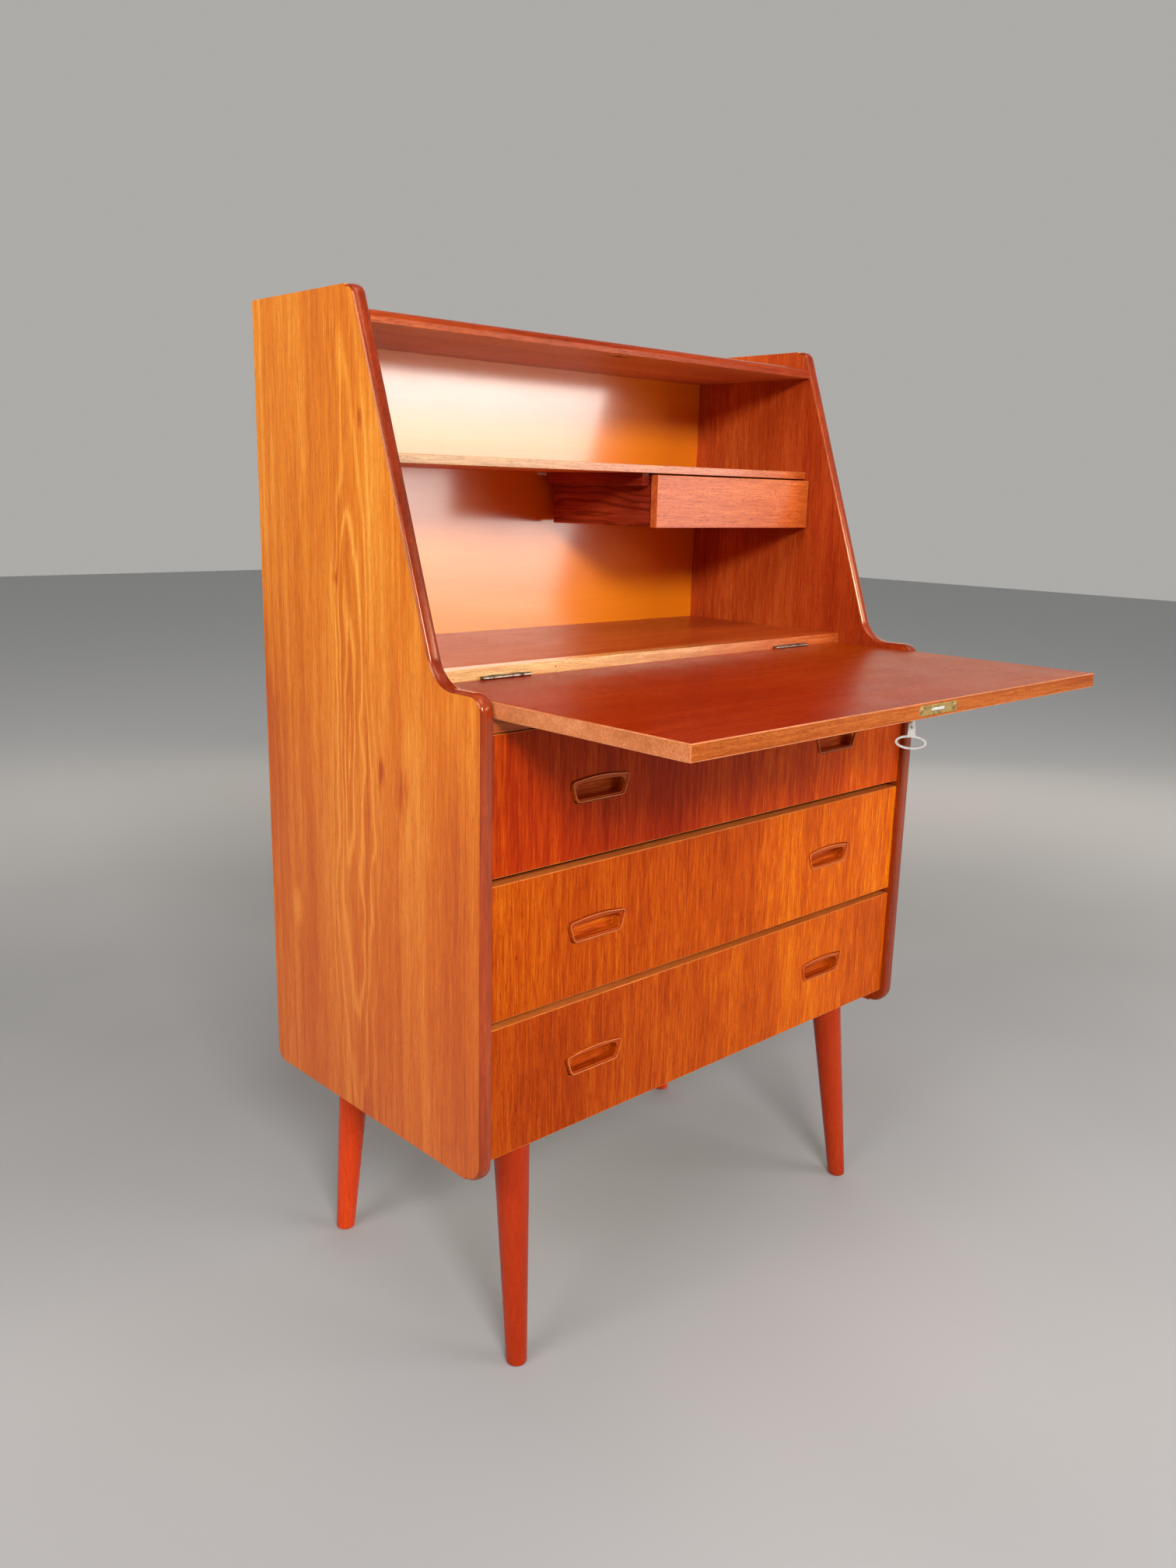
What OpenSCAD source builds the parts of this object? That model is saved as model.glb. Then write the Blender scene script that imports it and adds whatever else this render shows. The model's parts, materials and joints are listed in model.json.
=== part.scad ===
// Drop-front secretary desk in teak: a writing flap that folds down from a sloping front,
// a shelf with a small hanging drawer, three wide drawers and four splayed legs.
// Every piece is drawn with the back of the desk at y = 0, its front towards -Y and the floor
// at z = 0. The last step moves it so that the origin is under the middle of the whole desk,
// measured with the flap open.

/* [Carcass] */
// Width over the side panels
desk_w = 727; // [660:1:840]
// Height of the side panels above the floor
desk_h = 1120; // [1110:1:1150]
// Depth of a side panel below the writing level, with its lipping
side_depth = 396; // [390:1:400]
// Depth of a side panel along its top edge
top_depth = 194; // [188:1:200]
// Height of the shoulder at which the front starts to slope
shoulder_z = 746; // [742:1:750]
// Height of the lower edge of the side panels
side_bottom = 246; // [220:1:247]
// Thickness of the side panels
side_t = 15; // [14:0.5:18]
// Thickness of the solid lipping on the front edge of the side panels
lip_t = 3; // [2:0.5:4]
// Thickness of the back panel
back_t = 5; // [4:0.5:6]
// Height of the underside of the top board
top_under = 1085; // [1083:0.5:1087]
// Thickness of the top board
top_t = 12.5; // [12:0.5:16]
// Height of the top of the shelf
shelf_top = 963; // [962:0.5:975]
// Thickness of the shelf
shelf_t = 9.5; // [8:0.5:10]

/* [Writing flap] */
// Height of the writing surface when the flap is open
flap_top = 738.7; // [738:0.1:739]
// Thickness of the flap
flap_t = 16; // [15:0.5:16]
// Lean of the closed flap from the vertical, in degrees
flap_lean = 17.9; // [17:0.1:18]
// Width of each hinge
hinge_w = 64; // [50:1:76]
// Distance of each hinge from the middle of the desk
hinge_x = 240; // [180:1:270]
// Distance of the lock from the middle of the desk, to the right
lock_x = 14; // [-100:1:100]

/* [Drawers] */
// Height of a wide drawer front
drawer_h = 141.5; // [136:0.5:142]
// Height of one wide drawer above the one below it
drawer_pitch = 149; // [146:0.5:149]
// Height of the lower edge of the bottom drawer front
drawer_z = 267; // [266:0.5:268]
// Length of a wide drawer box behind its front
drawer_len = 320; // [280:5:340]
// Distance of each pull from the middle of the drawer
pull_x = 204; // [150:1:240]
// Width of the small drawer front
small_w = 297.5; // [240:0.5:320]
// Height of the small drawer front
small_h = 62.5; // [55:0.5:64]

/* [Legs] */
// Diameter of a leg at its top
leg_top_d = 40; // [34:1:44]
// Diameter of a leg at its foot
foot_d = 23; // [20:1:28]
// Distance of each foot from the middle of the desk, across
foot_x = 295; // [270:1:305]
// Distance of the front feet from the back of the desk
front_foot_y = 374; // [365:1:380]
// Distance of the back feet from the back of the desk
back_foot_y = 31; // [28:1:40]

/* [Hidden] */
$fn = 48;
DRAWERS = ["bottom_drawer", "middle_drawer", "top_drawer"];
DRAWER_PIECES = ["front", "pulls", "left_side", "right_side", "back", "base"];
SMALL_PIECES = ["front", "left_side", "right_side", "back", "base"];
LEGS = ["front_left_leg", "front_right_leg", "back_left_leg", "back_right_leg"];

VENEER = [0.80, 0.42, 0.14];
LIPPING = [0.46, 0.16, 0.08];
FRONT = [0.75, 0.32, 0.09];
FLAP = [0.66, 0.24, 0.10];
BEECH = [0.90, 0.72, 0.54];
PLY = [0.78, 0.62, 0.42];
LACQUER = [0.80, 0.43, 0.10];
LEG = [0.72, 0.22, 0.10];
BRASS = [0.72, 0.62, 0.32];
STEEL = [0.62, 0.62, 0.60];

// Carcass: derived sizes
eps = 0.01;
half_w = desk_w / 2;
inner = half_w - side_t;
slope = 19.1;
knee_depth = top_depth + (desk_h - shoulder_z) * tan(slope);
rebate_w = 6;
board_back = back_t + 0.5;
desk_top = 751;
desk_t = 16;
desk_lip_face = 277.5;
desk_lip_t = 18;
plugged_hole_x = -168;
plugged_hole_drop = 6.5;
rail_top = flap_top - flap_t - 0.5;
rail_t = 14.5;
rail_depth = 48;
bottom_top = 275;
bottom_t = 16;
bottom_depth = 368;
back_low = side_bottom + 14;
edge_t = 3;
shelf_depth = 205;
top_front = 202;
nosing = 10;
nosing_r = 8;

// Side panel outline: corners as [depth, height, radius], counter-clockwise
side_corners = [
    [0, side_bottom, 14],
    [0, desk_h, 2],
    [-top_depth, desk_h, 13],
    [-knee_depth, shoulder_z, 38],
    [-side_depth, shoulder_z, 19],
    [-side_depth, side_bottom, 24]
];

// Flap, hinge and lock: derived sizes
pivot_y = -281.3;
pivot_z = flap_top + 1.5;
knuckle_r = 2.4;
pin_r = 0.9;
pin_play = 0.05;
leaf_t = 1.4;
knuckles = 5;
knuckle_gap = 0.4;
flap_gap = 0.5;
flap_side_gap = 1;
flap_back = -desk_lip_face - 0.8;
flap_reach = (top_under - flap_gap - pivot_z - (pivot_z - flap_top + flap_t) * sin(flap_lean))
    / cos(flap_lean);
flap_front = pivot_y - flap_reach;
flap_half = inner - flap_side_gap;
edging_t = 4;
plate_w = 70;
plate_h = 10.6;
plate_t = 2;
lock_z = flap_top - flap_t / 2;
case_w = 50;
case_d = 34;
case_h = 9;
case_wall = 1;
bolt_w = 24;
bolt_t = 3.2;
bolt_len = 19;
key_y = flap_front + 28;
key_turned = -58;
strike_w = 50;
strike_d = 14;
strike_t = 1.5;
strike_y = pivot_y + (flap_reach + 4) * sin(flap_lean) - (pivot_z - lock_z) * cos(flap_lean);
screw_r = 1.6;
head_r = 3.2;
head_t = 1.2;
hole_room = 1;
back_screw = 13;
leaf_screw = 10;
strike_screw = 8;
lock_screw = 15;
foot_screw = 12;
strike_screw_x = 20;
lock_screw_x = 30;
leaf_h = 16;
leaf_screw_drop = 10;

// Drawers: derived sizes
front_y = -side_depth + 8;
front_t = 18;
front_half = inner - 1.2;
box_gap = 5;
box_half = inner - box_gap;
box_side_t = 10;
box_back_t = 10;
box_low = 10;
box_h = 105;
base_t = 4;
base_low = 16;
base_tongue = 4;
groove_z = 62;
groove_h = 10.4;
groove_d = 5;
groove_start = 6;
runner_h = 9.6;
runner_w = 9.3;
runner_len = 290;
runner_setback = 28;
pull_t = 15.5;
pull_proud = 1.8;
pull_rim = 3;
slot_depth = 12;
pull_corners = [[-34.5, -13, 7], [34.5, -13, 7], [43, 11.5, 5.5], [0, 16.5, 200], [-43, 11.5, 5.5]];
slot_corners = [[-32, -9, 6], [32, -9, 6], [37, 7, 7], [0, 8.5, 200], [-37, 7, 7]];

// Small drawer: derived sizes
small_right = inner - 1.5;
small_left = small_right - small_w;
small_top = shelf_top - shelf_t - 2;
small_low = small_top - small_h;
small_y = -213;
small_front_t = 11;
small_side_t = 9;
small_box_h = 61.5;
small_len = 180;
small_runner_w = 11.5;
small_runner_h = 15;
small_tongue = 4;
small_tongue_h = 4;
small_setback = 6;
small_runner_len = 176;
small_groove_room = 0.4;
small_groove_drop = 8.5;
small_base_low = 2.5;

// Legs: derived sizes
leg_lean_x = 13.5;
front_lean_y = 29;
back_lean_y = 13.5;
stud_r = 4;
stud_len = 12;
leg_plate_w = 46;
leg_plate_t = 3;
leg_top_z = bottom_top - bottom_t - leg_plate_t;

// The origin of the whole desk lies under the middle of its depth with the flap open
centre_y = -flap_front / 2;

// Outline tools

function unit(v) = v / norm(v);
function turned(v, angle) = [v.x * cos(angle) - v.y * sin(angle), v.x * sin(angle) + v.y * cos(angle)];
function before(list, i) = list[(i + len(list) - 1) % len(list)];
function after(list, i) = list[(i + 1) % len(list)];

// Points of an outline whose corners, [x, y, radius], are rounded to their own radii
function rounded(corners, steps = 8) = [
    for (i = [0 : len(corners) - 1])
        let (
            corner = [corners[i].x, corners[i].y],
            radius = corners[i].z,
            back = unit([before(corners, i).x, before(corners, i).y] - corner),
            ahead = unit([after(corners, i).x, after(corners, i).y] - corner),
            half = acos(back * ahead) / 2,
            centre = corner + unit(back + ahead) * radius / sin(half),
            start = corner + back * radius / tan(half) - centre,
            end = corner + ahead * radius / tan(half) - centre,
            sweep = radius == 0 ? 0 : atan2(start.x * end.y - start.y * end.x, start * end)
        )
        for (k = [0 : radius == 0 ? 0 : steps])
            centre + turned(start, sweep * k / steps)
];

// The same outline grown outwards by d, or shrunk for a negative d
function grown(corners, d) = [
    for (i = [0 : len(corners) - 1])
        let (
            corner = corners[i],
            into = unit([corner.x - before(corners, i).x, corner.y - before(corners, i).y]),
            out = unit([after(corners, i).x - corner.x, after(corners, i).y - corner.y]),
            normals = [into.y + out.y, -into.x - out.x],
            shift = normals * d / (1 + into * out),
            convex = into.x * out.y - into.y * out.x > 0 ? 1 : -1
        )
        [corner.x + shift.x, corner.y + shift.y, max(0, corner.z + convex * d)]
];

// A [depth, height] outline drawn across the desk from x0 over width w
module across(x0, w) translate([x0, 0, 0]) rotate([90, 0, 90]) linear_extrude(w) children();
// An [x, height] outline drawn from y0 towards the front over depth d
module forward(y0, d) translate([0, y0, 0]) rotate([90, 0, 0]) linear_extrude(d) children();
// A block between two corners
module block(low, high) translate(low) cube(high - low);
// A rod along X, and one along Z
module rod_x(x0, x1, r) translate([x0, 0, 0]) rotate([0, 90, 0]) cylinder(h = x1 - x0, r = r);
module mirrored(right) mirror([right ? 1 : 0, 0, 0]) children();

// Side panels

module side_outline() polygon(rounded(side_corners));

// The strip along the front contour that the lipping fills
module lipping_outline() {
    upper_start = top_depth - 13;
    lower_start = side_depth - 25;
    intersection() {
        difference() {
            side_outline();
            polygon(rounded(grown(side_corners, -lip_t)));
        }
        union() {
            translate([-2 * side_depth, shoulder_z - 100]) square([2 * side_depth - upper_start, desk_h]);
            translate([-2 * side_depth, 0]) square([2 * side_depth - lower_start, shoulder_z]);
        }
    }
}

module back_screw_places() {
    rows = 6;
    first = side_bottom + 30;
    for (side = [-1, 1], i = [0 : rows - 1])
        translate([side * (inner + rebate_w / 2), 0, first + i * (top_under - first) / (rows - 1)])
            rotate([90, 0, 0]) children();
}

// Pointing to +Z, with the head's flat at z = 0
module screw(length, r = screw_r) {
    cylinder(h = head_t, r = head_r);
    cylinder(h = length, r = r);
}

module side_panel(right) {
    difference() {
        mirrored(right) difference() {
            across(-half_w, side_t) difference() {
                side_outline();
                lipping_outline();
            }
            // Rebate for the back panel
            block([-inner - rebate_w, -back_t, back_low], [-inner + eps, eps, top_under + top_t]);
        }
        back_screw_places() screw(back_screw + hole_room);
    }
}

module left_side_panel() color(VENEER) side_panel(false);
module right_side_panel() color(VENEER) side_panel(true);
module left_edge_lipping() color(LIPPING) across(-half_w, side_t) lipping_outline();
module right_edge_lipping() color(LIPPING) across(inner, side_t) lipping_outline();

module back_panel() color(LACQUER) difference() {
    block([-inner - rebate_w, -back_t, back_low], [inner + rebate_w, 0, top_under + top_t]);
    back_screw_places() screw(back_screw + hole_room);
}

module back_panel_screws() color(STEEL) back_screw_places() screw(back_screw);

// Boards between the sides

module board(y_front, y_back, z_low, t) block([-inner, -y_front, z_low], [inner, -y_back, z_low + t]);

module bolt_mortise() {
    // Where the thrown bolt reaches when the flap is closed
    translate([lock_x, pivot_y, pivot_z]) rotate([-flap_lean, 0, 0])
        translate([-bolt_w / 2 - 1, -(pivot_z - lock_z) - bolt_t / 2 - 1.2, flap_reach])
            cube([bolt_w + 2, bolt_t + 2.4, 10]);
}

module strike_seat() translate([lock_x, strike_y, top_under + strike_t / 2])
    cube([strike_w, strike_d, strike_t], center = true);

module strike_screw_places() for (side = [-1, 1])
    translate([lock_x + side * strike_screw_x, strike_y, top_under]) children();

module top_board() color(VENEER) difference() {
    board(top_front - nosing, board_back, top_under, top_t);
    bolt_mortise();
    strike_seat();
    strike_screw_places() screw(strike_screw + hole_room);
}

module top_board_lipping() color(LIPPING) across(-inner, 2 * inner) polygon(rounded([
    [-top_front, top_under, 0],
    [-top_front + nosing, top_under, 0],
    [-top_front + nosing, top_under + top_t, 0],
    [-top_front, top_under + top_t, nosing_r]
]));

module strike_plate() color(BRASS) difference() {
    strike_seat();
    bolt_mortise();
    strike_screw_places() screw(strike_screw + hole_room);
}

module shelf() color(VENEER) board(shelf_depth - edge_t, board_back, shelf_top - shelf_t, shelf_t);

module shelf_lipping() color(BEECH)
    board(shelf_depth, shelf_depth - edge_t, shelf_top - shelf_t, shelf_t);

module desk_board() color(VENEER)
    board(desk_lip_face - desk_lip_t, board_back, desk_top - desk_t, desk_t);

module desk_board_lipping() color(BEECH) difference() {
    board(desk_lip_face, desk_lip_face - desk_lip_t, rail_top, desk_top - rail_top);
    for_hinges() {
        fixed_leaf_plate();
        fixed_screws(leaf_screw + hole_room);
    }
    // Plugged hole beside the left hinge
    translate([plugged_hole_x, -desk_lip_face - eps, desk_top - plugged_hole_drop])
        rotate([-90, 0, 0]) cylinder(h = 3, r = 1.2);
}

module front_rail() color(LIPPING)
    board(-front_y, -front_y - rail_depth, rail_top - rail_t, rail_t);

module dust_board() color(PLY)
    board(-front_y - rail_depth, board_back, rail_top - rail_t, rail_t);

module bottom_board() color(PLY) difference() {
    board(bottom_depth, board_back, bottom_top - bottom_t, bottom_t);
    stud_holes();
    plate_screw_places() screw(foot_screw + hole_room);
}

// Legs

module leg_at(i) {
    right = i % 2;
    front = i < 2;
    foot = [(right ? 1 : -1) * foot_x, front ? -front_foot_y : -back_foot_y, 0];
    top = [
        foot.x - (right ? 1 : -1) * leg_lean_x,
        foot.y + (front ? front_lean_y : -back_lean_y),
        leg_top_z
    ];
    rise = top - foot;
    // The last quarter turn puts the seam of the leg's cone beside its lean
    translate(foot)
        rotate([0, acos(rise.z / norm(rise)), atan2(rise.y, rise.x)])
            rotate([0, 0, 90]) children();
}

module leg(i) color(LEG) {
    // The cone runs on past both of its flat cuts
    over = 8;
    taper = (leg_top_d - foot_d) / 2 / leg_top_z;
    difference() {
        leg_at(i) translate([0, 0, -over]) cylinder(
            h = leg_top_z + 3 * over,
            r1 = foot_d / 2 - over * taper,
            r2 = foot_d / 2 + (leg_top_z + 2 * over) * taper
        );
        translate([-desk_w, -desk_w, leg_top_z]) cube([2 * desk_w, 2 * desk_w, 100]);
        translate([-desk_w, -desk_w, -100]) cube([2 * desk_w, 2 * desk_w, 100]);
    }
    leg_top(i) translate([0, 0, -eps]) cylinder(h = stud_len, r = stud_r);
}

// The middle of the leg's top, where its upright stud and its plate are
module leg_top(i) {
    right = i % 2;
    front = i < 2;
    translate([
        (right ? 1 : -1) * (foot_x - leg_lean_x),
        front ? -front_foot_y + front_lean_y : -back_foot_y - back_lean_y,
        leg_top_z
    ]) children();
}

module leg_plate_places() for (i = [0 : 3]) leg_top(i) children();
module stud_holes() leg_plate_places() translate([0, 0, -1]) cylinder(h = stud_len + 2, r = stud_r + 0.3);

module plate_screw_places() leg_plate_places()
    for (a = [45 : 90 : 315]) rotate([0, 0, a]) translate([leg_plate_w * 0.58, 0, 0]) children();

module leg_plates() color(STEEL) difference() {
    leg_plate_places() translate([0, 0, leg_plate_t / 2])
        cube([leg_plate_w, leg_plate_w, leg_plate_t], center = true);
    stud_holes();
    plate_screw_places() screw(foot_screw + hole_room);
}

module leg_plate_screws() color(STEEL) plate_screw_places() screw(foot_screw);

// Wide drawers, i = 0 for the lowest

module drawer_runner(i) {
    z = drawer_z + i * drawer_pitch + groove_z + (groove_h - runner_h) / 2;
    y = front_y + runner_setback;
    block([-inner, y, z], [-inner + runner_w, y + runner_len, z + runner_h]);
}

module left_drawer_runners() color(BEECH) for (i = [0 : 2]) drawer_runner(i);
module right_drawer_runners() color(BEECH) for (i = [0 : 2]) mirrored(true) drawer_runner(i);

module pull_places(i) for (side = [-1, 1])
    translate([side * pull_x, 0, drawer_z + i * drawer_pitch + drawer_h / 2]) children();

module drawer_front(i) color(FRONT) difference() {
    block(
        [-front_half, front_y, drawer_z + i * drawer_pitch],
        [front_half, front_y + front_t, drawer_z + i * drawer_pitch + drawer_h]
    );
    pull_places(i) forward(front_y + pull_t, pull_t + 1) polygon(rounded(pull_corners));
}

module drawer_pulls(i) color(FRONT) pull_places(i) {
    difference() {
        forward(front_y + pull_t, pull_t) polygon(rounded(pull_corners));
        forward(front_y + slot_depth, slot_depth + 1) polygon(rounded(slot_corners));
    }
    forward(front_y, pull_proud) difference() {
        polygon(rounded(pull_corners));
        polygon(rounded(grown(pull_corners, -pull_rim)));
    }
}

module drawer_side(i, right) color(BEECH) mirrored(right) {
    z = drawer_z + i * drawer_pitch;
    y = front_y + front_t;
    difference() {
        block([-box_half, y, z + box_low], [-box_half + box_side_t, y + drawer_len, z + box_low + box_h]);
        // Runner groove, open at the back
        block(
            [-box_half - 1, y + groove_start, z + groove_z],
            [-box_half + groove_d, y + drawer_len + 1, z + groove_z + groove_h]
        );
        // Groove for the base
        block(
            [-box_half + box_side_t - base_tongue, y - 1, z + base_low],
            [-box_half + box_side_t + 1, y + drawer_len + 1, z + base_low + base_t]
        );
    }
}

module drawer_back(i) color(BEECH) {
    z = drawer_z + i * drawer_pitch;
    y = front_y + front_t + drawer_len;
    block(
        [-box_half + box_side_t, y - box_back_t, z + base_low + base_t],
        [box_half - box_side_t, y, z + box_low + box_h]
    );
}

module drawer_base(i) color(PLY) {
    z = drawer_z + i * drawer_pitch + base_low;
    reach = box_half - box_side_t + base_tongue;
    block([-reach, front_y + front_t, z], [reach, front_y + front_t + drawer_len, z + base_t]);
}

module drawer_piece(i, piece) {
    if (piece == "front") drawer_front(i);
    if (piece == "pulls") drawer_pulls(i);
    if (piece == "left_side") drawer_side(i, false);
    if (piece == "right_side") drawer_side(i, true);
    if (piece == "back") drawer_back(i);
    if (piece == "base") drawer_base(i);
}

// Small drawer, which hangs under the shelf from two tongued runners

small_box_y = small_y + small_front_t;
small_box_left = small_left + 3;
small_box_right = inner - small_runner_w - 1;
small_groove_z = small_low + small_box_h - small_groove_drop;

// A side from x on, grooved on its outer face: outer is -1 for the left side and 1 for the right
module small_side(x, outer) color(LIPPING) {
    groove_w = small_tongue + 0.5;
    groove_x = outer < 0 ? x - 1 : x + small_side_t - groove_w;
    difference() {
        block(
            [x, small_box_y, small_low + 0.5],
            [x + small_side_t, small_box_y + small_len, small_low + small_box_h]
        );
        block(
            [groove_x, small_box_y + small_setback - 2, small_groove_z - small_groove_room],
            [
                groove_x + groove_w + 1,
                small_box_y + small_len + 1,
                small_groove_z + small_tongue_h + small_groove_room
            ]
        );
    }
}

module small_runner(x, outer) {
    z = shelf_top - shelf_t;
    y = small_box_y + small_setback;
    tongue_x = outer < 0 ? x + small_runner_w - 1 : x - small_tongue;
    block([x, y, z - small_runner_h], [x + small_runner_w, y + small_runner_len, z]);
    block(
        [tongue_x, y, small_groove_z],
        [tongue_x + small_tongue + 1, y + small_runner_len - small_setback, small_groove_z + small_tongue_h]
    );
}

module small_drawer_runners() color(LIPPING) {
    small_runner(small_box_left - small_runner_w - 0.5, -1);
    small_runner(inner - small_runner_w, 1);
}

module small_drawer_front() color(FRONT)
    block([small_left, small_y, small_low], [small_right, small_y + small_front_t, small_top]);

module small_drawer_back() color(LIPPING) block(
    [
        small_box_left + small_side_t,
        small_box_y + small_len - small_side_t,
        small_low + small_base_low + base_t
    ],
    [small_box_right - small_side_t, small_box_y + small_len, small_low + small_box_h]
);

module small_drawer_base() color(PLY) block(
    [small_box_left + small_side_t, small_box_y, small_low + small_base_low],
    [small_box_right - small_side_t, small_box_y + small_len, small_low + small_base_low + base_t]
);

module small_piece(piece) {
    if (piece == "front") small_drawer_front();
    if (piece == "left_side") small_side(small_box_left, -1);
    if (piece == "right_side") small_side(small_box_right - small_side_t, 1);
    if (piece == "back") small_drawer_back();
    if (piece == "base") small_drawer_base();
}

// Flap, drawn open

module flap_core() block([-flap_half, flap_front, flap_top - flap_t], [flap_half, flap_back, flap_top]);

module flap_inner() block(
    [-flap_half + edging_t, flap_front + edging_t, flap_top - flap_t - 1],
    [flap_half - edging_t, flap_back + 1, flap_top + 1]
);

module lock_space() {
    lock_block(case_w, case_d, case_h);
    plate_body(plate_t + eps);
    keyhole(flap_top - flap_t - 1);
    plate_screw_spots() cylinder(h = lock_screw + hole_room, r = screw_r);
}

// Block behind the lock plate, centred on the bolt
module lock_block(w, d, h) block(
    [lock_x - w / 2, flap_front + plate_t, lock_z - h / 2],
    [lock_x + w / 2, flap_front + plate_t + d, lock_z + h / 2]
);

// Round hole with a slot for the bit, from a height of z up into the lock case
module keyhole(z) translate([lock_x, key_y, z]) {
    cylinder(h = lock_z - case_h / 2 + case_wall + eps - z, r = key_shaft_r + 0.5);
    translate([-1.3, -key_bit - 1, 0]) cube([2.6, key_bit + 1, lock_z - case_h / 2 + case_wall + eps - z]);
}

module plate_body(t) forward(flap_front + t, t) translate([lock_x, lock_z])
    polygon(rounded([for (c = [[-1, -1], [1, -1], [1, 1], [-1, 1]])
        [c.x * plate_w / 2, c.y * plate_h / 2, plate_h / 2 - 0.2]]));

module plate_screw_spots() for (side = [-1, 1])
    translate([lock_x + side * lock_screw_x, flap_front, lock_z]) rotate([-90, 0, 0]) children();

module flap_panel() color(FLAP) difference() {
    intersection() { flap_core(); flap_inner(); }
    lock_space();
    for_hinges() { hinge_notch(); moving_leaf_plate(); moving_screws(leaf_screw + hole_room); }
}

module flap_edging() color(FRONT) difference() {
    flap_core();
    flap_inner();
    lock_space();
}

// Hinges: drawn at the pivot, from x = 0 over the hinge's width

module for_hinges() for (side = [-1, 1])
    translate([side * hinge_x - hinge_w / 2, pivot_y, pivot_z]) children();

knuckle_w = (hinge_w - (knuckles - 1) * knuckle_gap) / knuckles;
lip_back = -desk_lip_face - pivot_y;
flap_rear = flap_back - pivot_y;

// Knuckles first, first + 2, ... with the web that joins each to its leaf
module knuckle_row(first, web_low, web_high, web_to) for (k = [first : 2 : knuckles - 1]) {
    x = k * (knuckle_w + knuckle_gap);
    difference() {
        union() {
            rod_x(x, x + knuckle_w, knuckle_r);
            block([x, 0, web_low], [x + knuckle_w, web_to, web_high]);
        }
        rod_x(x - 1, x + knuckle_w + 1, pin_r + pin_play);
    }
}

module fixed_leaf_plate() block([0, lip_back, -leaf_h], [hinge_w, lip_back + leaf_t, knuckle_r]);

module moving_leaf_plate() block([0, flap_rear - leaf_t, -leaf_h], [hinge_w, flap_rear, -3.2]);

module hinge_notch() {
    rod_x(-0.3, hinge_w + 0.3, knuckle_r + 0.6);
    block([-0.3, flap_rear - 3.2, -3.3], [hinge_w + 0.3, flap_rear + 1, 3]);
}

module leaf_screw_places(y, depth_sign) for (x = [10, hinge_w / 2, hinge_w - 10])
    translate([x, y, -leaf_screw_drop]) rotate([-90 * depth_sign, 0, 0]) children();

module fixed_screws(length) leaf_screw_places(lip_back, 1) screw(length);
module moving_screws(length) leaf_screw_places(flap_rear, -1) screw(length);

module hinge_fixed_leaves() color(BRASS) for_hinges() difference() {
    union() {
        fixed_leaf_plate();
        knuckle_row(0, knuckle_r - 1.6, knuckle_r, lip_back + eps);
    }
    fixed_screws(leaf_screw + hole_room);
}

module hinge_moving_leaves() color(BRASS) for_hinges() difference() {
    union() {
        moving_leaf_plate();
        knuckle_row(1, -3.3, -1.2, flap_rear);
    }
    moving_screws(leaf_screw + hole_room);
}

module hinge_pins() color(BRASS) for_hinges() rod_x(0, hinge_w, pin_r);

// Screws of the fixed leaves and of the strike plate
module carcass_screws() color(BRASS) {
    for_hinges() fixed_screws(leaf_screw);
    strike_screw_places() screw(strike_screw);
}

module flap_screws() color(BRASS) {
    for_hinges() moving_screws(leaf_screw);
    plate_screw_spots() screw(lock_screw);
}

// Lock and key

module lock_case() color(STEEL) difference() {
    lock_block(case_w, case_d, case_h);
    // Hollow, open to the front for the bolt
    translate([0, -case_wall, 0]) lock_block(bolt_w + 3, case_d, case_h - 2 * case_wall);
    keyhole(lock_z - case_h);
}

module lock_plate() color(BRASS) difference() {
    plate_body(plate_t);
    block(
        [lock_x - bolt_w / 2 - 0.4, flap_front - 1, lock_z - bolt_t / 2 - 0.3],
        [lock_x + bolt_w / 2 + 0.4, flap_front + plate_t + 1, lock_z + bolt_t / 2 + 0.3]
    );
    plate_screw_spots() screw(lock_screw + hole_room);
}

module lock_bolt() color(BRASS) block(
    [lock_x - bolt_w / 2, flap_front + 0.6, lock_z - bolt_t / 2],
    [lock_x + bolt_w / 2, flap_front + 0.6 + bolt_len, lock_z + bolt_t / 2]
);

key_shaft_r = 2.2;
key_collar_r = 3.1;
key_collar_drop = 6;
key_bit = 6;
bow_w = 31;
bow_h = 14.5;
bow_wire = 2.3;
key_t = 2.2;
tab_w = 7;
tab_low = flap_top - flap_t - 24;
tab_high = flap_top - flap_t - 10;

module key() color(STEEL) translate([lock_x, key_y, 0]) rotate([0, 0, key_turned]) {
    translate([0, 0, tab_high - 2]) cylinder(h = lock_z - 1 - tab_high + 2, r = key_shaft_r);
    translate([0, 0, flap_top - flap_t - key_collar_drop]) cylinder(h = 1.6, r = key_collar_r);
    // Bit that turns inside the lock case
    block([0, -0.8, lock_z - case_h / 2 + case_wall + 0.3], [key_bit, 0.8, lock_z - 1]);
    difference() {
        forward(key_t / 2, key_t) polygon(rounded([
            [-tab_w / 2 - 1, tab_low - 2, 0],
            [tab_w / 2 + 1, tab_low - 2, 0],
            [tab_w / 2, tab_low + 4, 2],
            [tab_w / 2, tab_high, 2.5],
            [-tab_w / 2, tab_high, 2.5],
            [-tab_w / 2, tab_low + 4, 2]
        ]));
        translate([0, 0, tab_high - 5]) rotate([90, 0, 0])
            cylinder(h = 2 * key_t, r = 1.3, center = true);
        forward(key_t, 2 * key_t) bow_hole();
    }
    forward(key_t / 2, key_t) difference() {
        bow(bow_w, bow_h);
        bow_hole();
    }
}

module bow(w, h) translate([0, tab_low - bow_h / 2 + 1])
    polygon([for (a = [0 : 10 : 350]) [w / 2 * cos(a), h / 2 * sin(a)]]);
module bow_hole() bow(bow_w - 2 * bow_wire, bow_h - 2 * bow_wire);

// The whole desk

module place() translate([0, centre_y, 0]) children();

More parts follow.
